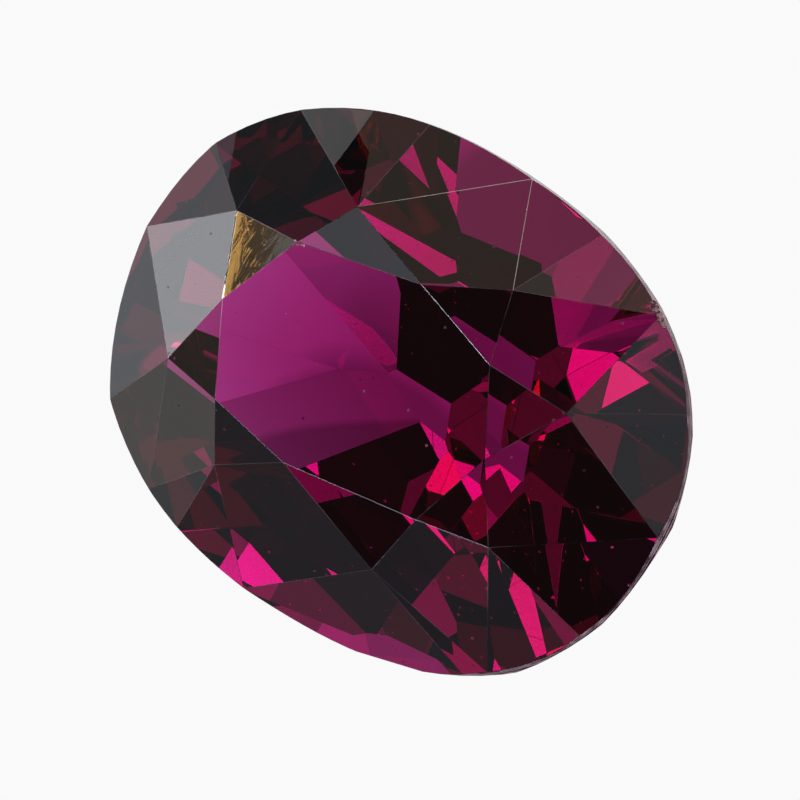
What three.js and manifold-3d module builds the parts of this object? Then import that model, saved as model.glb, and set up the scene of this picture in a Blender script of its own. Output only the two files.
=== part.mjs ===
// A polished oval garnet in a brilliant cut, lying on the broad pavilion facet of one long side.
// Millimetres, +Z up. The stone is cut table up in its own axes and then laid down on that facet.
import * as THREE from 'three';
import { mergeVertices } from 'three/addons/utils/BufferGeometryUtils.js';
import Module from 'manifold-3d';

// Driving dimensions of the stone, table up, with X along the oval's long axis.
const halfLength = 5.0;
const halfWidth = 3.875;
const ovalFullness = 2.27; // 2 is an ellipse, and more fills out the four shoulders
const girdleThickness = 0.225;
const crownHeight = 1.57;
const culetDepth = 3.44; // from the girdle's lower edge down to the small flat culet
const girdleSegments = 96;

// The eight mains of the crown, in order round the oval from the lower left.
// azimuth: where the facet meets the girdle. slope: from the girdle's plane, in degrees.
// slide: how far hand cutting has shifted the facet's table corner along the table's edge, in millimetres.
// starShare: height of the star's tip between this main and the next, as a share of the crown.
// halves: where the two upper halves between this main and the next part at the girdle.
// lifts: how far above the girdle's upper edge each of those two passes there, which keeps the outline full.
const crownMains = [
  { azimuth: 231, slope: 36, slide: 0.05, starShare: 0.83, halves: 220, lifts: [0, 0.4] },
  { azimuth: 180, slope: 33, slide: 0.07, starShare: 0.69, halves: 160, lifts: [0.1, 0.1] },
  { azimuth: 143, slope: 34.5, slide: -0.42, starShare: 0.81, halves: 115, lifts: [0, 0] },
  { azimuth: 87, slope: 37, slide: 0, starShare: 0.69, halves: 66, lifts: [0, 0] },
  { azimuth: 45, slope: 34.5, slide: 0.28, starShare: 0.73, halves: 26, lifts: [0, 0] },
  { azimuth: 3.5, slope: 32.5, slide: -0.1, starShare: 0.77, halves: -19, lifts: [0, 0] },
  { azimuth: -38, slope: 35, slide: -0.32, starShare: 0.73, halves: -43, lifts: [0, 0] },
  { azimuth: -98, slope: 35.5, slide: 0.1, starShare: 0.66, halves: -119, lifts: [0, 0] },
];

// The eight mains of the pavilion, in the same order, each between the girdle and the culet.
// drop: how far below the girdle's lower edge the main starts, in millimetres. The mains at 191.5 and 133
// start so low that the cuts beside them take their whole faces, and the one at -102.5 keeps only a
// sliver by the culet.
// halfStep: share of the way to the next main at which the two lower halves between them meet the girdle,
// one that far from each main. halves: their slopes, this main's first.
const pavilionMains = [
  { azimuth: 250, slope: 43.8, drop: 0, halfStep: 0.3, halves: [41.7, 40.9] },
  { azimuth: 191.5, slope: 37.7, drop: 0.65, halfStep: 0.31, halves: [39.2, 39.7] },
  { azimuth: 133, slope: 43.8, drop: 0.6, halfStep: 0.22, halves: [45.4, 44.8] },
  { azimuth: 94, slope: 37, drop: 0.6, halfStep: 0.26, halves: [53.7, 42.9] },
  { azimuth: 40.5, slope: 45, drop: 0, halfStep: 0.37, halves: [41.1, 45.2] },
  { azimuth: 18, slope: 37.1, drop: 0, halfStep: 0.4, halves: [39.2, 53.6] },
  { azimuth: -47, slope: 42.3, drop: 0.2, halfStep: 0.15, halves: [49.2, 51.7] },
  { azimuth: -102.5, slope: 37.8, drop: 0.7, halfStep: 0.42, halves: [48.3, 48.3] },
];
const restingMain = 0;

const radians = THREE.MathUtils.degToRad;
const wasm = await Module();
wasm.setup();

// A point of the oval at an azimuth in degrees, at height z, with the oval's outward normal there.
function girdlePoint(azimuth, z) {
  const cosine = Math.cos(radians(azimuth));
  const sine = Math.sin(radians(azimuth));
  const along = Math.abs(cosine) / halfLength;
  const across = Math.abs(sine) / halfWidth;
  const radius = (along ** ovalFullness + across ** ovalFullness) ** (-1 / ovalFullness);
  const point = new THREE.Vector3(radius * cosine, radius * sine, z);
  const outward = new THREE.Vector3(
    (Math.sign(cosine) * (radius * along) ** (ovalFullness - 1)) / halfLength,
    (Math.sign(sine) * (radius * across) ** (ovalFullness - 1)) / halfWidth,
    0,
  ).normalize();
  return { point, outward };
}

// The plane of a facet that meets the oval at a height, its normal leaning from upright by the slope.
function facetPlane({ azimuth, slope }, height, side) {
  const { point, outward } = girdlePoint(azimuth, height);
  const normal = outward.multiplyScalar(Math.sin(radians(slope)));
  normal.z = side * Math.cos(radians(slope));
  return new THREE.Plane().setFromNormalAndCoplanarPoint(normal, point);
}

// The plane through three points, facing up for side 1 and down for side -1.
function planeThrough(first, second, third, side) {
  const plane = new THREE.Plane().setFromCoplanarPoints(first, second, third);
  return Math.sign(plane.normal.z) === side ? plane : plane.negate();
}

// The point where three planes meet.
function meet(first, second, third) {
  const [a, b, c] = [first.normal, second.normal, third.normal];
  const volume = a.dot(b.clone().cross(c));
  return b
    .clone()
    .cross(c)
    .multiplyScalar(-first.constant)
    .addScaledVector(c.clone().cross(a), -second.constant)
    .addScaledVector(a.clone().cross(b), -third.constant)
    .divideScalar(volume);
}

function levelPlane(z, side) {
  return new THREE.Plane().setFromNormalAndCoplanarPoint(
    new THREE.Vector3(0, 0, side),
    new THREE.Vector3(0, 0, z),
  );
}

// Crown: the table, eight mains, eight stars and sixteen upper halves.
function crownPlanes() {
  const table = levelPlane(crownHeight, 1);
  const mains = crownMains.map((main) => facetPlane(main, 0, 1));
  const corners = crownMains.map(({ azimuth, slope, slide }) => {
    const { point, outward } = girdlePoint(azimuth, 0);
    const inset = crownHeight / Math.tan(radians(slope));
    const tangent = new THREE.Vector3(-outward.y, outward.x, 0);
    const corner = point.addScaledVector(outward, -inset).addScaledVector(tangent, slide);
    return corner.setZ(crownHeight);
  });
  const planes = [table, ...mains];
  crownMains.forEach((main, i) => {
    const next = (i + 1) % crownMains.length;
    const starLevel = levelPlane(main.starShare * crownHeight, 1);
    const tip = meet(mains[i], mains[next], starLevel);
    planes.push(planeThrough(corners[i], corners[next], tip, 1));
    [main, crownMains[next]].forEach((edge, k) => {
      const parting = girdlePoint(main.halves, main.lifts[k]).point;
      planes.push(planeThrough(tip, girdlePoint(edge.azimuth, 0).point, parting, 1));
    });
  });
  return planes;
}

// A pavilion main, cut in a little below the girdle's lower edge.
function pavilionMain(main) {
  return facetPlane(main, -girdleThickness - main.drop, -1);
}

// Pavilion: eight mains, sixteen lower halves and the culet.
function pavilionPlanes() {
  const edge = -girdleThickness;
  const planes = [levelPlane(edge - culetDepth, -1), ...pavilionMains.map(pavilionMain)];
  pavilionMains.forEach((main, i) => {
    const neighbour = pavilionMains[(i + 1) % pavilionMains.length];
    const turn = THREE.MathUtils.euclideanModulo(main.azimuth - neighbour.azimuth, 360);
    const step = turn * main.halfStep;
    const halves = [
      { azimuth: main.azimuth - step, slope: main.halves[0] },
      { azimuth: neighbour.azimuth + step, slope: main.halves[1] },
    ];
    planes.push(...halves.map((half) => facetPlane(half, edge, -1)));
  });
  return planes;
}

// A closed three geometry as a solid.
function toSolid(geometry) {
  geometry.deleteAttribute('normal');
  geometry.deleteAttribute('uv');
  const merged = mergeVertices(geometry, 1e-5);
  return new wasm.Manifold(
    new wasm.Mesh({
      numProp: 3,
      vertProperties: new Float32Array(merged.attributes.position.array),
      triVerts: new Uint32Array(merged.index.array),
    }),
  );
}

// The blank: an oval column as tall as the finished stone.
function ovalBlank() {
  const outline = new THREE.Shape();
  for (let i = 0; i < girdleSegments; i++) {
    const { point } = girdlePoint((i * 360) / girdleSegments, 0);
    if (i === 0) {
      outline.moveTo(point.x, point.y);
    } else {
      outline.lineTo(point.x, point.y);
    }
  }
  outline.closePath();
  const bottom = -girdleThickness - culetDepth;
  const geometry = new THREE.ExtrudeGeometry(outline, {
    depth: crownHeight - bottom,
    bevelEnabled: false,
    steps: 1,
  });
  geometry.translate(0, 0, bottom);
  return toSolid(geometry);
}

// Everything outside a facet's plane, as a block to grind away.
function wasteBeyond(plane) {
  const size = 4 * halfLength;
  const block = new THREE.BoxGeometry(size, size, size);
  const facing = new THREE.Quaternion().setFromUnitVectors(new THREE.Vector3(0, 0, 1), plane.normal);
  const centre = plane.normal.clone().multiplyScalar(size / 2 - plane.constant);
  block.applyMatrix4(new THREE.Matrix4().compose(centre, facing, new THREE.Vector3(1, 1, 1)));
  return toSolid(block);
}

function toGeometry(solid) {
  const { vertProperties, triVerts } = solid.getMesh();
  const geometry = new THREE.BufferGeometry();
  geometry.setAttribute('position', new THREE.BufferAttribute(vertProperties, 3));
  geometry.setIndex(new THREE.BufferAttribute(triVerts, 1));
  return geometry;
}

// Turns the stone so that it lies on one facet, with its long axis still along X, on z = 0.
function layDown(geometry, facet) {
  const up = facet.normal.clone().negate();
  const longAxis = new THREE.Vector3(1, 0, 0).projectOnPlane(up).normalize();
  const across = up.clone().cross(longAxis);
  geometry.applyMatrix4(new THREE.Matrix4().makeBasis(longAxis, across, up).transpose());
  geometry.computeBoundingBox();
  const { min, max } = geometry.boundingBox;
  geometry.translate(-(min.x + max.x) / 2, -(min.y + max.y) / 2, -min.z);
}

const facets = [...crownPlanes(), ...pavilionPlanes()];
const stone = facets.reduce((solid, plane) => solid.subtract(wasteBeyond(plane)), ovalBlank());
const stoneGeometry = toGeometry(stone);
layDown(stoneGeometry, pavilionMain(pavilionMains[restingMain]));
stoneGeometry.computeVertexNormals();

const garnet = new THREE.Mesh(
  stoneGeometry,
  new THREE.MeshStandardMaterial({ color: 0x7c1a52, roughness: 0.04, metalness: 0 }),
);
garnet.name = 'garnet';

const model = new THREE.Group();
model.add(garnet);
export default model;
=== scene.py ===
"""A polished oval garnet on a light table. Sizes are in metres unless a name says otherwise."""

import math

import bmesh
import bpy
from mathutils import Matrix, Vector


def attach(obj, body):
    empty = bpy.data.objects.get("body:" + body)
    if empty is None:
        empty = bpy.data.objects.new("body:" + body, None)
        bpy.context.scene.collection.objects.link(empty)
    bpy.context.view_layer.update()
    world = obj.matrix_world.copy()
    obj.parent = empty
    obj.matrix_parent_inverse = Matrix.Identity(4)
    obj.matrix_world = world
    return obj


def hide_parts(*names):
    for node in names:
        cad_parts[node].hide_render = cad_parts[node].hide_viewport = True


bl_info = {
    "name": "Oval Garnet",
    "version": (1, 0, 0),
    "blender": (4, 5, 0),
    "location": "3D View > Sidebar > Garnet",
    "description": "Finishes a faceted garnet and sets up its light table",
    "category": "Add Mesh",
}

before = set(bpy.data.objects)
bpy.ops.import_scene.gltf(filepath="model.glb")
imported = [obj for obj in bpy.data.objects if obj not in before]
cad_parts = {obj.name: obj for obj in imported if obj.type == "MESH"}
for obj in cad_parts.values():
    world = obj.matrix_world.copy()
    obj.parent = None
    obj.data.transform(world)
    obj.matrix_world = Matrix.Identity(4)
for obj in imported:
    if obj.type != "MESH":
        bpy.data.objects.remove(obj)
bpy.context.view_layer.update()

STONE_NODE = "garnet"
MM = 0.001
MERGE_DISTANCE = 0.0002  # in millimetres, as are the next two
CUT_TOLERANCE = 0.00001
LEVEL_TOLERANCE = 0.001
GIRDLE_LEAN = 0.1  # a girdle face's normal leans less than this along the table's axis
LEAST_WORN_ANGLE = math.radians(1.0)
SHELTERED_SHARE = 0.3  # the edges below the girdle are worn this much beside those above
SAME_FACET = math.cos(math.radians(0.1))
FLAT_ANGLE = math.radians(0.3)  # triangles closer to level than this are joined into one facet
POLISHED, WORN, SCUFFED, GROUND, CHIPPED, SWIRLED = range(6)  # material slots of the stone
HAZE_SCALE = 900.0  # noise scales are in waves per metre, so a wave is about a millimetre here
SPECK_SCALE = 2400.0
SCUFF_SCALE = 9000.0
STRETCH_SCALE = 600.0
WAVER_SCALE = 700.0
WAVER_HEIGHT = 0.04 * MM
LINE_SCALE = 22000.0
LINE_DEPTH = 0.008 * MM
PATCH_SCALE = 3500.0
SWIRL_SCALE = 4000.0
SWIRL_STRETCH = 0.22
SWIRL_DEPTH = 0.007  # in millimetres
SWIRL_SMOOTHEST = 0.02
SWIRL_DISTORTION = 0.8
SPECK_INNER = 0.04  # distances from a speck's centre, in cells of the speck pattern
SPECK_OUTER = 0.08
LEAST_EDGE_SHARE = 0.4  # the smoothest stretch of a worn edge has this share of its roughness
LEAST_GIRDLE_SHARE = 0.35  # and the smoothest line of the girdle this share of its own
LINE_STRENGTH = 0.6
# Spots on the stone, in millimetres from the frame's origin.
SWIRLED_SPOT = Vector((-2.8, -0.5, 4.1))
KEEN_EDGE_SPOT = Vector((-3.06, -0.64, 3.92))
KEEN_EDGE_WIDTH = 0.035
KEEN_EDGE_REACH = 0.35
SCUFFED_SPOT = Vector((-3.5, -0.9, 3.15))
SCUFFED_REACH = 1.6
DOME_AXIS = Vector((0.74, 0.26, 0.62))  # across the swirled facet, from its keen edge
DOME_RISE = 0.05  # per millimetre: how fast the facet curves away from the keen edge
CHIP_MARGIN = 0.25  # how far a chip's flat faces lie inside its ball, as a share of its radius
# The chips: the centre and the radius of the round bite that each one is.
CHIPS = (
    ((-2.241, -0.247, 4.679), 0.028),
    ((-2.2, -0.26, 4.683), 0.02),
    ((-2.157, -0.276, 4.685), 0.026),
    ((-2.145, -0.226, 4.725), 0.022),
    ((-2.105, -0.255, 4.71), 0.018),
    ((-2.065, -0.249, 4.721), 0.024),
    ((2.737, 2.321, 5.406), 0.1),
    ((2.79, 2.25, 5.425), 0.09),
    ((2.88, 2.23, 5.405), 0.09),
    ((2.97, 2.18, 5.37), 0.08),
    ((3.05, 2.15, 5.34), 0.06),
)


class GarnetSettings(bpy.types.PropertyGroup):
    """What a user would change on the stone itself."""

    refraction: bpy.props.FloatProperty(
        name="Refractive index",
        description="How strongly the stone bends light",
        default=1.76,
        min=1.0,
        max=2.5,
    )
    body_color: bpy.props.FloatVectorProperty(
        name="Body colour",
        description="Share of each colour that the stone lets through as light crosses it",
        subtype="COLOR",
        size=3,
        min=0.0,
        max=1.0,
        default=(0.854, 0.265, 0.715),
    )
    body_depth: bpy.props.FloatProperty(
        name="Depth of colour",
        description="How much the stone takes away in each metre of the light's path",
        default=1200.0,
        min=0.0,
        soft_max=4000.0,
    )
    edge_wear: bpy.props.FloatProperty(
        name="Worn edge width",
        description="Width of the rounding where two facets meet",
        default=0.009 * MM,
        min=0.0,
        unit="LENGTH",
        precision=6,
    )
    polish_haze: bpy.props.FloatProperty(
        name="Polish haze",
        description="Roughness of the hazy patches left on the facets by polishing",
        default=0.015,
        min=0.0,
        max=1.0,
        subtype="FACTOR",
    )
    dust_roughness: bpy.props.FloatProperty(
        name="Dust roughness",
        description="Roughness of the sparse dust specks on the facets",
        default=0.35,
        min=0.0,
        max=1.0,
        subtype="FACTOR",
    )
    edge_roughness: bpy.props.FloatProperty(
        name="Worn edge roughness",
        description="Roughness of the rounding where two facets meet",
        default=0.25,
        min=0.0,
        max=1.0,
        subtype="FACTOR",
    )
    scuff_color: bpy.props.FloatVectorProperty(
        name="Scuff colour",
        description="Colour of the fine scuffs on the worn edges and the girdle",
        subtype="COLOR",
        size=3,
        min=0.0,
        max=1.0,
        default=(1.0, 0.7, 0.74),
    )
    girdle_sheen: bpy.props.FloatVectorProperty(
        name="Girdle mirror colour",
        description="Tint of what the ground girdle still mirrors",
        subtype="COLOR",
        size=3,
        min=0.0,
        max=1.0,
        default=(0.38, 0.17, 0.26),
    )
    groove_color: bpy.props.FloatVectorProperty(
        name="Groove colour",
        description="Colour between the grinding lines of the girdle",
        subtype="COLOR",
        size=3,
        min=0.0,
        max=1.0,
        default=(0.1, 0.02, 0.05),
    )
    edge_frost: bpy.props.FloatProperty(
        name="Edge frost",
        description="Share of the light that the worn edges scatter instead of letting through",
        default=0.06,
        min=0.0,
        max=1.0,
        subtype="FACTOR",
    )
    scuffed_frost: bpy.props.FloatProperty(
        name="Scuffed edge frost",
        description="The same share for the more worn edges at the left end",
        default=0.3,
        min=0.0,
        max=1.0,
        subtype="FACTOR",
    )
    girdle_frost: bpy.props.FloatProperty(
        name="Girdle frost",
        description="Share of the light that the girdle scatters instead of letting through",
        default=0.45,
        min=0.0,
        max=1.0,
        subtype="FACTOR",
    )
    chip_color: bpy.props.FloatVectorProperty(
        name="Chip colour",
        description="Colour of the broken stone in the chips",
        subtype="COLOR",
        size=3,
        min=0.0,
        max=1.0,
        default=(1.0, 0.55, 0.5),
    )
    chip_frost: bpy.props.FloatProperty(
        name="Chip frost",
        description="Share of the light that the chips scatter instead of letting through",
        default=0.5,
        min=0.0,
        max=1.0,
        subtype="FACTOR",
    )
    swirl_roughness: bpy.props.FloatProperty(
        name="Swirl roughness",
        description="Roughness of the swirls left by polishing on one star facet",
        default=0.12,
        min=0.0,
        max=1.0,
        subtype="FACTOR",
    )
    girdle_roughness: bpy.props.FloatProperty(
        name="Girdle roughness",
        description="Roughness of the fine-ground band round the stone",
        default=0.3,
        min=0.0,
        max=1.0,
        subtype="FACTOR",
    )


class LightTableSettings(bpy.types.PropertyGroup):
    """What a user would change on the stage."""

    floor_color: bpy.props.FloatVectorProperty(
        name="Floor colour",
        description="Colour of the plain floor",
        subtype="COLOR",
        size=3,
        min=0.0,
        max=1.0,
        default=(0.95, 0.95, 0.955),
    )
    table_level: bpy.props.FloatProperty(
        name="Light table brightness",
        description="Brightness of the light table that lights the stone from below",
        default=0.68,
        min=0.0,
    )
    # The next two settings set the painted shadow on the light table: its brightness and how far it
    # reaches.
    shade_level: bpy.props.FloatProperty(
        name="Brightness in the shade",
        description="Brightness of the light table under the stone",
        default=0.37,
        min=0.0,
    )
    shade_radius: bpy.props.FloatProperty(
        name="Shade radius",
        description="How far the shade reaches from below the stone's middle",
        default=1.8 * MM,
        min=0.0,
        unit="LENGTH",
        precision=5,
    )
    room_level: bpy.props.FloatProperty(
        name="Room brightness",
        description="Brightness of the dim room that the facets mirror",
        default=0.03,
        min=0.0,
    )


def deselect_all():
    for item in bpy.context.selected_objects:
        item.select_set(False)


def activate(piece):
    deselect_all()
    piece.select_set(True)
    bpy.context.view_layer.objects.active = piece


def new_material(name):
    """An empty node material, with its output node."""
    material = bpy.data.materials.new(name)
    material.use_nodes = True
    material.node_tree.nodes.clear()
    output = material.node_tree.nodes.new("ShaderNodeOutputMaterial")
    return material, material.node_tree, output


def clear_stone_shader(tree, output, settings):
    """Clear garnet: a refracting surface, with the colour taken up inside the stone."""
    shader = tree.nodes.new("ShaderNodeBsdfPrincipled")
    shader.inputs["Base Color"].default_value = (1.0, 1.0, 1.0, 1.0)
    shader.inputs["Transmission Weight"].default_value = 1.0
    shader.inputs["IOR"].default_value = settings.refraction
    body = tree.nodes.new("ShaderNodeVolumeAbsorption")
    body.inputs["Color"].default_value = (*settings.body_color, 1.0)
    body.inputs["Density"].default_value = settings.body_depth
    tree.links.new(shader.outputs["BSDF"], output.inputs["Surface"])
    tree.links.new(body.outputs["Volume"], output.inputs["Volume"])
    return shader


def ramp(tree, source, low, high, at_low, at_high):
    """Maps a value between low and high to one between at_low and at_high."""
    node = tree.nodes.new("ShaderNodeMapRange")
    node.inputs["From Min"].default_value = low
    node.inputs["From Max"].default_value = high
    node.inputs["To Min"].default_value = at_low
    node.inputs["To Max"].default_value = at_high
    tree.links.new(source, node.inputs["Value"])
    return node.outputs["Result"]


def noise(tree, place, scale, detail):
    node = tree.nodes.new("ShaderNodeTexNoise")
    node.inputs["Scale"].default_value = scale
    node.inputs["Detail"].default_value = detail
    tree.links.new(place, node.inputs["Vector"])
    return node.outputs["Fac"]


def color_ramp(tree, source, low, high, at_low, at_high):
    """Maps a value between low and high to a color between at_low and at_high."""
    node = tree.nodes.new("ShaderNodeValToRGB")
    for element, position, color in zip(node.color_ramp.elements, (low, high), (at_low, at_high)):
        element.position = position
        element.color = (*color, 1.0)
    tree.links.new(source, node.inputs["Fac"])
    return node.outputs["Color"]


def math_node(tree, operation, first, second):
    node = tree.nodes.new("ShaderNodeMath")
    node.operation = operation
    for socket, value in zip(node.inputs, (first, second)):
        if isinstance(value, bpy.types.NodeSocket):
            tree.links.new(value, socket)
        else:
            socket.default_value = value
    return node.outputs["Value"]


def polished_garnet(settings):
    """Polished facets: mirror smooth, with hazy patches of polish and sparse dust specks."""
    material, tree, output = new_material("polished_garnet")
    shader = clear_stone_shader(tree, output, settings)
    place = tree.nodes.new("ShaderNodeTexCoord").outputs["Object"]
    haze = ramp(tree, noise(tree, place, HAZE_SCALE, 3.0), 0.5, 0.75, 0.0, settings.polish_haze)
    specks = tree.nodes.new("ShaderNodeTexVoronoi")
    specks.inputs["Scale"].default_value = SPECK_SCALE
    tree.links.new(place, specks.inputs["Vector"])
    from_speck = specks.outputs["Distance"]
    dust = ramp(tree, from_speck, SPECK_INNER, SPECK_OUTER, settings.dust_roughness, 0.0)
    roughness = math_node(tree, "MAXIMUM", haze, dust)
    tree.links.new(roughness, shader.inputs["Roughness"])
    return material


def worn_garnet(settings, name, frost):
    """The narrow worn edges between facets: scuffed unevenly, so they catch a little light."""
    material, tree, output = new_material(name)
    shader = clear_stone_shader(tree, output, settings)
    shader.inputs["Transmission Weight"].default_value = 1.0 - frost
    place = tree.nodes.new("ShaderNodeTexCoord").outputs["Object"]
    scuffs = noise(tree, place, SCUFF_SCALE, 2.0)
    stretches = noise(tree, place, STRETCH_SCALE, 1.0)
    color = color_ramp(tree, stretches, 0.42, 0.62, settings.groove_color, settings.scuff_color)
    tree.links.new(color, shader.inputs["Base Color"])
    lightly = settings.edge_roughness * LEAST_EDGE_SHARE
    tree.links.new(
        ramp(tree, scuffs, 0.35, 0.65, lightly, settings.edge_roughness),
        shader.inputs["Roughness"],
    )
    return material


def ground_girdle(settings, axis):
    """The girdle: the same stone, left matt, with fine grinding lines that run round it."""
    material, tree, output = new_material("ground_girdle")
    shader = clear_stone_shader(tree, output, settings)
    shader.inputs["Transmission Weight"].default_value = 1.0 - settings.girdle_frost
    shader.inputs["Specular Tint"].default_value = (*settings.girdle_sheen, 1.0)
    place = tree.nodes.new("ShaderNodeTexCoord").outputs["Object"]
    level = tree.nodes.new("ShaderNodeVectorMath")
    level.operation = "DOT_PRODUCT"
    level.inputs[1].default_value = axis
    tree.links.new(place, level.inputs[0])
    waver = math_node(tree, "MULTIPLY", noise(tree, place, WAVER_SCALE, 1.0), WAVER_HEIGHT)
    track = math_node(tree, "ADD", level.outputs["Value"], waver)
    lines = tree.nodes.new("ShaderNodeTexNoise")
    lines.noise_dimensions = "1D"
    lines.inputs["Scale"].default_value = LINE_SCALE
    lines.inputs["Detail"].default_value = 2.0
    tree.links.new(track, lines.inputs["W"])
    smoother = settings.girdle_roughness * LEAST_GIRDLE_SHARE
    tree.links.new(
        ramp(tree, lines.outputs["Fac"], 0.4, 0.6, smoother, settings.girdle_roughness),
        shader.inputs["Roughness"],
    )
    bump = tree.nodes.new("ShaderNodeBump")
    bump.inputs["Strength"].default_value = LINE_STRENGTH
    bump.inputs["Distance"].default_value = LINE_DEPTH
    tree.links.new(lines.outputs["Fac"], bump.inputs["Height"])
    tree.links.new(bump.outputs["Normal"], shader.inputs["Normal"])
    patches = ramp(tree, noise(tree, place, PATCH_SCALE, 2.0), 0.3, 0.7, 0.75, 1.2)
    worked = math_node(tree, "MULTIPLY", lines.outputs["Fac"], patches)
    color = color_ramp(tree, worked, 0.46, 0.62, settings.groove_color, settings.scuff_color)
    tree.links.new(color, shader.inputs["Base Color"])
    return material


def chipped_garnet(settings):
    """The small chips: rough broken stone, paler than the facets."""
    material, tree, output = new_material("chipped_garnet")
    shader = clear_stone_shader(tree, output, settings)
    shader.inputs["Transmission Weight"].default_value = 1.0 - settings.chip_frost
    place = tree.nodes.new("ShaderNodeTexCoord").outputs["Object"]
    crumbs = noise(tree, place, SCUFF_SCALE * 2, 2.0)
    color = color_ramp(tree, crumbs, 0.4, 0.55, settings.groove_color, settings.chip_color)
    tree.links.new(color, shader.inputs["Base Color"])
    roughness = ramp(tree, crumbs, 0.4, 0.6, settings.edge_roughness, settings.girdle_roughness)
    tree.links.new(roughness, shader.inputs["Roughness"])
    return material


def swirled_garnet(settings):
    """One star facet, polished in swirls that show as streaks in what it mirrors."""
    material, tree, output = new_material("swirled_garnet")
    shader = clear_stone_shader(tree, output, settings)
    place = tree.nodes.new("ShaderNodeTexCoord").outputs["Object"]
    along = tree.nodes.new("ShaderNodeMapping")
    along.inputs["Scale"].default_value = (1.0, SWIRL_STRETCH, 1.0)
    tree.links.new(place, along.inputs["Vector"])
    swirls = tree.nodes.new("ShaderNodeTexNoise")
    swirls.inputs["Scale"].default_value = SWIRL_SCALE
    swirls.inputs["Detail"].default_value = 3.0
    swirls.inputs["Distortion"].default_value = SWIRL_DISTORTION
    tree.links.new(along.outputs["Vector"], swirls.inputs["Vector"])
    across = tree.nodes.new("ShaderNodeVectorMath")
    across.operation = "DOT_PRODUCT"
    across.inputs[1].default_value = DOME_AXIS.normalized() / MM
    tree.links.new(place, across.inputs[0])
    bow = math_node(tree, "MULTIPLY", math_node(tree, "POWER", across.outputs["Value"], 2.0), -DOME_RISE)
    relief = math_node(tree, "MULTIPLY", swirls.outputs["Fac"], SWIRL_DEPTH)
    bump = tree.nodes.new("ShaderNodeBump")
    bump.inputs["Strength"].default_value = 1.0
    bump.inputs["Distance"].default_value = MM
    tree.links.new(math_node(tree, "ADD", bow, relief), bump.inputs["Height"])
    tree.links.new(bump.outputs["Normal"], shader.inputs["Normal"])
    roughest = settings.swirl_roughness
    roughness = ramp(tree, swirls.outputs["Fac"], 0.35, 0.65, SWIRL_SMOOTHEST, roughest)
    tree.links.new(roughness, shader.inputs["Roughness"])
    return material


def edge_slot(centre):
    """The material slot of a worn edge by where its middle is."""
    if (centre - KEEN_EDGE_SPOT).length < KEEN_EDGE_REACH:
        return POLISHED
    if (centre - SCUFFED_SPOT).length < SCUFFED_REACH:
        return SCUFFED
    return WORN


def in_chip(face, centre, radius):
    """Whether a face lies on the ball that a chip was bitten with."""
    return abs((face.center - Vector(centre)).length / radius - 1) < CHIP_MARGIN


def chip_out(piece, centre, radius):
    """Bites a small round chip out of the stone."""
    bpy.ops.mesh.primitive_ico_sphere_add(subdivisions=1, radius=radius, location=centre)
    ball = bpy.context.object
    cut = piece.modifiers.new("chip", "BOOLEAN")
    cut.operation = "DIFFERENCE"
    cut.solver = "EXACT"
    cut.object = ball
    activate(piece)
    bpy.ops.object.modifier_apply(modifier=cut.name)
    bpy.data.objects.remove(ball, do_unlink=True)


def worn_edges(mesh, axis, width):
    """The cuts that round the edges, each as a point and an outward normal."""
    work = bmesh.new()
    work.from_mesh(mesh)
    found = []
    for edge in work.edges:
        first, second = (face.normal for face in edge.link_faces)
        between_girdle_faces = max(abs(first.dot(axis)), abs(second.dot(axis))) < GIRDLE_LEAN
        angle = first.angle(second)
        if angle < LEAST_WORN_ANGLE or between_girdle_faces:
            continue
        start, end = (vertex.co for vertex in edge.verts)
        middle = (start + end) / 2
        along = (end - start).normalized()
        outward = first + second
        outward -= outward.dot(along) * along
        outward.normalize()
        highest = max((vertex.co - middle).dot(outward) for vertex in work.verts)
        if highest > LEVEL_TOLERANCE:
            continue
        sheltered = max(first.dot(axis), second.dot(axis)) < -GIRDLE_LEAN
        worn = width * SHELTERED_SHARE if sheltered else width
        if (middle - KEEN_EDGE_SPOT).length < KEEN_EDGE_REACH:
            worn = KEEN_EDGE_WIDTH
        found.append((middle - outward * worn / 2 * math.tan(angle / 2), outward))
    work.free()
    return found


def table_axis(mesh):
    """The table's outward normal: the table is the largest face that looks up."""
    return max((f for f in mesh.polygons if f.normal.z > 0), key=lambda f: f.area).normal.copy()


def grind(point, normal):
    """Takes away what lies beyond a plane, and closes the cut with a flat face."""
    bpy.ops.mesh.select_all(action="SELECT")
    bpy.ops.mesh.bisect(
        plane_co=point,
        plane_no=normal,
        use_fill=True,
        clear_outer=True,
        threshold=CUT_TOLERANCE,
    )


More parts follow.
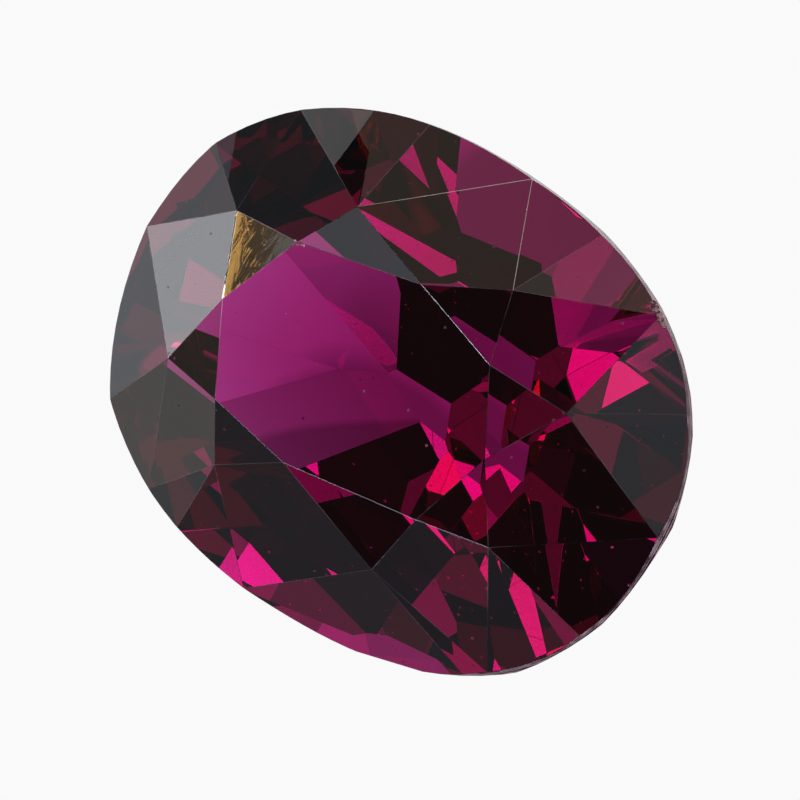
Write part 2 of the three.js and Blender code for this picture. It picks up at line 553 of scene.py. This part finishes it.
def finish_stone(settings):
    """The stone: its facets joined up, their edges slightly worn, the girdle ground, chips bitten out.

    It is worked on in millimetres, so that small cuts stay exact, and scaled back at the end.
    """
    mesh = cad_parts[STONE_NODE].data.copy()
    mesh.transform(Matrix.Scale(1 / MM, 4))
    mesh.name = "garnet_stone"
    mesh.materials.clear()
    piece = bpy.data.objects.new("garnet_stone", mesh)
    bpy.context.scene.collection.objects.link(piece)
    activate(piece)
    bpy.ops.object.mode_set(mode="EDIT")
    bpy.ops.mesh.select_all(action="SELECT")
    bpy.ops.mesh.remove_doubles(threshold=MERGE_DISTANCE)
    bpy.ops.mesh.dissolve_limited(angle_limit=FLAT_ANGLE)
    bpy.ops.object.mode_set(mode="OBJECT")
    axis = table_axis(mesh)
    facets = [(face.center.copy(), face.normal.copy()) for face in mesh.polygons]
    cuts = worn_edges(mesh, axis, settings.edge_wear / MM)
    bpy.ops.object.mode_set(mode="EDIT")
    for point, outward in cuts:
        grind(point, outward)
    bpy.ops.object.mode_set(mode="OBJECT")
    for centre, radius in CHIPS:
        chip_out(piece, centre, radius)
    mesh = piece.data
    mesh.materials.append(polished_garnet(settings))
    mesh.materials.append(worn_garnet(settings, "worn_garnet", settings.edge_frost))
    mesh.materials.append(worn_garnet(settings, "scuffed_garnet", settings.scuffed_frost))
    mesh.materials.append(ground_girdle(settings, axis))
    mesh.materials.append(chipped_garnet(settings))
    mesh.materials.append(swirled_garnet(settings))
    swirled = min(facets, key=lambda facet: (facet[0] - SWIRLED_SPOT).length)[1]
    for face in mesh.polygons:
        face.material_index = POLISHED
        if any(in_chip(face, centre, radius) for centre, radius in CHIPS):
            face.material_index = CHIPPED
        elif abs(face.normal.dot(axis)) < GIRDLE_LEAN:
            face.material_index = GROUND
        elif face.normal.dot(swirled) > SAME_FACET:
            face.material_index = SWIRLED
        elif not any(face.normal.dot(outward) > SAME_FACET for _, outward in facets):
            face.material_index = edge_slot(face.center)
    mesh.transform(Matrix.Scale(MM, 4))
    return piece


class GARNET_OT_stone(bpy.types.Operator):
    """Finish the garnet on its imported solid"""

    bl_idname = "garnet.stone"
    bl_label = "Finish the stone"

    def execute(self, context):
        piece = finish_stone(context.scene.garnet_settings)
        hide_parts(STONE_NODE)
        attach(piece, "root")
        return {"FINISHED"}


CAMERA_AZIMUTH = math.radians(30.66)
CAMERA_ELEVATION = math.radians(51.84)
CAMERA_ROLL = math.radians(12.02)
CAMERA_AIM = Vector((0.123, -0.16, 2.809)) * MM
FRAME_WIDTH = 12.24 * MM
LENS_MM = 1200.0
SENSOR_MM = 36.0


def direction(azimuth_deg, elevation_deg):
    """A unit vector from the stone: azimuth from +X towards +Y, elevation above the floor."""
    azimuth = math.radians(azimuth_deg)
    elevation = math.radians(elevation_deg)
    flat = math.cos(elevation)
    return Vector((flat * math.cos(azimuth), flat * math.sin(azimuth), math.sin(elevation)))


def make_camera():
    data = bpy.data.cameras.new("photo_camera")
    data.lens = LENS_MM
    data.sensor_width = SENSOR_MM
    camera = bpy.data.objects.new("photo_camera", data)
    bpy.context.scene.collection.objects.link(camera)
    back = Vector((
        math.sin(CAMERA_AZIMUTH) * math.cos(CAMERA_ELEVATION),
        -math.cos(CAMERA_AZIMUTH) * math.cos(CAMERA_ELEVATION),
        math.sin(CAMERA_ELEVATION),
    ))
    distance = FRAME_WIDTH * LENS_MM / SENSOR_MM
    camera.location = CAMERA_AIM + back * distance
    turn = (-back).to_track_quat("-Z", "Y").to_matrix() @ Matrix.Rotation(CAMERA_ROLL, 3, "Z")
    camera.rotation_euler = turn.to_euler()
    data.clip_start = distance / 100
    data.clip_end = distance * 100
    bpy.context.scene.camera = camera


def softbox(name, azimuth_deg, elevation_deg, spread_deg, radiance, color):
    """A round soft light facing the stone.

    spread_deg is half the angle it fills as seen from the stone, and radiance is its brightness
    beside a white of 1.
    """
    radius = SOFTBOX_DISTANCE * math.tan(math.radians(spread_deg))
    data = bpy.data.lights.new(name, "AREA")
    data.shape = "DISK"
    data.size = 2 * radius
    data.energy = radiance * math.pi * math.pi * radius * radius
    data.color = color
    lamp = bpy.data.objects.new(name, data)
    bpy.context.scene.collection.objects.link(lamp)
    lamp.visible_camera = False
    aim = direction(azimuth_deg, elevation_deg)
    lamp.location = CAMERA_AIM + aim * SOFTBOX_DISTANCE
    lamp.rotation_euler = (-aim).to_track_quat("-Z", "Y").to_euler()
    return lamp


def glowing(name, color, strength):
    material, tree, output = new_material(name)
    shader = tree.nodes.new("ShaderNodeEmission")
    shader.inputs["Color"].default_value = (*color, 1.0)
    shader.inputs["Strength"].default_value = strength
    tree.links.new(shader.outputs["Emission"], output.inputs["Surface"])
    return material


FLOOR_GAP = 0.01 * MM
FLOOR_SIZE = 4.0
# The painted shadow on the light table: SHADE_BLUR is how softly it fades, SHADE_CENTRE its middle below
# the stone.
SHADE_BLUR = 0.1  # the shade fades over this share of its radius to either side
SHADE_CENTRE = Vector((0.17, 0.91, 0.0)) * MM
SOFTBOX_DISTANCE = 3.0
WHITE = (1.0, 1.0, 1.0)


def big_plane(name, height, material):
    deselect_all()
    bpy.ops.mesh.primitive_plane_add(size=FLOOR_SIZE, location=(0, 0, height))
    plane = bpy.context.object
    plane.name = name
    plane.data.materials.append(material)
    return plane


def make_floor(settings):
    """The pale floor that the camera sees."""
    floor = big_plane("floor", -FLOOR_GAP, glowing("pale_floor", settings.floor_color, 1.0))
    floor.visible_glossy = False
    floor.visible_transmission = False


def make_light_table(settings):
    """The light table as the stone itself sees it: its glow is a little darker in a painted shadow of
    the stone.
    """
    material, tree, output = new_material("light_table")
    shader = tree.nodes.new("ShaderNodeEmission")
    place = tree.nodes.new("ShaderNodeTexCoord")
    from_centre = tree.nodes.new("ShaderNodeVectorMath")
    from_centre.operation = "SUBTRACT"
    from_centre.inputs[1].default_value = SHADE_CENTRE
    reach = tree.nodes.new("ShaderNodeVectorMath")
    reach.operation = "LENGTH"
    # Painted shadow: the glow drops to the shade level within the shade radius of the spot below the
    # stone.
    shade = tree.nodes.new("ShaderNodeMapRange")
    shade.inputs["From Min"].default_value = settings.shade_radius * (1 - SHADE_BLUR)
    shade.inputs["From Max"].default_value = settings.shade_radius * (1 + SHADE_BLUR)
    shade.inputs["To Min"].default_value = settings.shade_level
    shade.inputs["To Max"].default_value = settings.table_level
    tree.links.new(place.outputs["Object"], from_centre.inputs[0])
    tree.links.new(from_centre.outputs["Vector"], reach.inputs[0])
    tree.links.new(reach.outputs["Value"], shade.inputs["Value"])
    tree.links.new(shade.outputs["Result"], shader.inputs["Strength"])
    tree.links.new(shader.outputs["Emission"], output.inputs["Surface"])
    table = big_plane("light_table", -2 * FLOOR_GAP, material)
    table.visible_camera = False
    table.visible_glossy = False


def make_world(settings):
    """A room that is dim to the stone, with a pale backdrop for the camera."""
    world = bpy.data.worlds.new("dim_studio")
    world.use_nodes = True
    tree = world.node_tree
    tree.nodes.clear()
    output = tree.nodes.new("ShaderNodeOutputWorld")
    room = tree.nodes.new("ShaderNodeBackground")
    room.inputs["Color"].default_value = (1.0, 1.0, 1.0, 1.0)
    room.inputs["Strength"].default_value = settings.room_level
    backdrop = tree.nodes.new("ShaderNodeBackground")
    backdrop.inputs["Color"].default_value = (*settings.floor_color, 1.0)
    ray = tree.nodes.new("ShaderNodeLightPath")
    choice = tree.nodes.new("ShaderNodeMixShader")
    tree.links.new(ray.outputs["Is Camera Ray"], choice.inputs["Fac"])
    tree.links.new(room.outputs["Background"], choice.inputs[1])
    tree.links.new(backdrop.outputs["Background"], choice.inputs[2])
    tree.links.new(choice.outputs["Shader"], output.inputs["Surface"])
    bpy.context.scene.world = world


# Each softbox: its name, azimuth, elevation and spread in degrees, radiance and colour.
SOFTBOXES = (
    ("back_right_low", 65.5, -15.5, 24.0, 0.7, (1.0, 0.96, 0.91)),
    ("back_high", 90.0, 53.0, 24.0, 0.4, (1.0, 0.88, 0.77)),
    ("back_left_low", 115.0, -29.5, 21.5, 1.05, WHITE),
    ("back_left_level", 131.0, 13.5, 22.0, 0.6, (0.97, 0.98, 1.0)),
    ("back_left_raised", 132.5, 40.0, 24.0, 0.25, (1.0, 0.82, 0.68)),
    ("left_low", 174.5, -10.0, 24.0, 0.35, (0.69, 0.83, 1.0)),
    ("left_raised", 178.0, 23.0, 16.0, 0.1, (0.77, 0.87, 1.0)),
    ("warm_left", 189.0, 13.5, 5.5, 5.0, (1.0, 0.56, 0.15)),
    ("edge_left", 189.5, 2.5, 3.0, 12.0, (1.0, 0.92, 0.78)),
    ("amber_left", 196.0, 22.0, 6.0, 0.5, (1.0, 0.62, 0.25)),
    ("left_low_b", 190.0, -12.0, 6.0, 1.8, (0.93, 0.96, 1.0)),
    ("left_low_c", 197.0, -27.5, 23.5, 0.3, (1.0, 0.96, 0.92)),
    ("front_left_raised", 204.5, 23.0, 6.5, 6.8, (1.0, 0.87, 0.75)),
    ("front_left_raised_b", 206.5, 39.0, 18.5, 0.7, (0.78, 0.88, 1.0)),
    ("front_left_low", 209.0, -26.5, 23.5, 0.25, (1.0, 0.99, 0.99)),
    ("front_left_high", 210.0, 63.5, 13.0, 8.4, (0.73, 0.84, 1.0)),
    ("front_left_level", 235.0, 4.0, 21.5, 0.2, (1.0, 0.87, 0.76)),
    ("front_left_level_b", 241.0, 12.5, 11.5, 2.4, (0.66, 0.78, 1.0)),
    ("front_low", 250.5, -30.0, 22.5, 0.15, (0.73, 0.85, 1.0)),
    ("front_level", 267.0, 7.5, 15.5, 8.5, (0.65, 0.78, 1.0)),
    ("front_high", 275.0, 56.5, 5.0, 1.9, (0.64, 0.76, 1.0)),
    ("front_right_level", 293.0, 11.0, 14.5, 1.7, (0.64, 0.76, 1.0)),
    ("front_right_low", 294.0, -20.0, 17.5, 0.15, (0.7, 0.81, 1.0)),
    ("front_right_high", 336.5, 66.5, 24.0, 0.35, (0.8, 0.89, 1.0)),
    ("right_raised", 342.0, 36.0, 4.5, 0.7, (1.0, 0.98, 0.96)),
    ("right_level", 350.5, 14.0, 14.5, 5.15, (0.65, 0.78, 1.0)),
)


class GARNET_OT_light_table(bpy.types.Operator):
    """Set up the camera, the floor, the room and the softboxes"""

    bl_idname = "garnet.light_table"
    bl_label = "Set up the light table"

    def execute(self, context):
        settings = context.scene.light_table_settings
        make_camera()
        make_floor(settings)
        make_light_table(settings)
        make_world(settings)
        for values in SOFTBOXES:
            softbox(*values)
        scene = context.scene
        scene.view_settings.view_transform = "Standard"
        scene.cycles.max_bounces = 32
        scene.cycles.glossy_bounces = 24
        scene.cycles.transmission_bounces = 24
        scene.cycles.blur_glossy = 0.0
        return {"FINISHED"}


class GARNET_PT_panel(bpy.types.Panel):
    """Garnet tools"""

    bl_idname = "GARNET_PT_panel"
    bl_label = "Garnet"
    bl_space_type = "VIEW_3D"
    bl_region_type = "UI"
    bl_category = "Garnet"

    def draw(self, context):
        layout = self.layout
        for settings in (context.scene.garnet_settings, context.scene.light_table_settings):
            for name in settings.__annotations__:
                layout.prop(settings, name)
        layout.operator(GARNET_OT_stone.bl_idname)
        layout.operator(GARNET_OT_light_table.bl_idname)


CLASSES = (
    GarnetSettings,
    LightTableSettings,
    GARNET_OT_stone,
    GARNET_OT_light_table,
    GARNET_PT_panel,
)


def register():
    for item in CLASSES:
        bpy.utils.register_class(item)
    bpy.types.Scene.garnet_settings = bpy.props.PointerProperty(type=GarnetSettings)
    bpy.types.Scene.light_table_settings = bpy.props.PointerProperty(type=LightTableSettings)


def unregister():
    del bpy.types.Scene.light_table_settings
    del bpy.types.Scene.garnet_settings
    for item in reversed(CLASSES):
        bpy.utils.unregister_class(item)


def main():
    register()
    bpy.ops.garnet.stone()
    bpy.ops.garnet.light_table()


if __name__ == "__main__":
    main()
